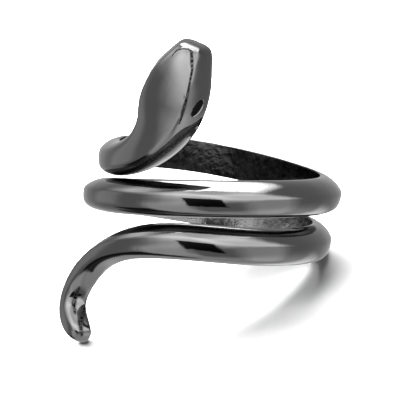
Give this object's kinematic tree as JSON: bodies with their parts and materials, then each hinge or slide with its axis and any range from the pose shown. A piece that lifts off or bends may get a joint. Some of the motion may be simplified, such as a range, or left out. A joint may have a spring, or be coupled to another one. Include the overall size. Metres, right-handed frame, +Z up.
{
  "type": "snake wrap ring",
  "caption": "Open wrap finger ring of a polished metal snake whose round-backed body coils round the finger, with a raised head at one end and a bent, flared tail at the other.",
  "frame": {"origin": "on the floor, under the middle of the ring's outline as it rests on the tip of its tail and the right rim of its lowest turn", "axes": "+Z up; +Y away from the side where the head stands; the finger hole's upper end leans 26 degrees to +X and 9 degrees to +Y"},
  "size_m": [0.0256, 0.022, 0.0224],
  "materials": {
    "gunmetal": "steel polished to a mirror under a dark gunmetal plating, left as cast on the inside",
    "black_enamel": "hard black enamel, fired and rubbed dull"
  },
  "bodies": {
    "root": {"snake_body": "gunmetal", "eye_left": "black_enamel", "eye_right": "black_enamel"}
  },
  "joints": []
}
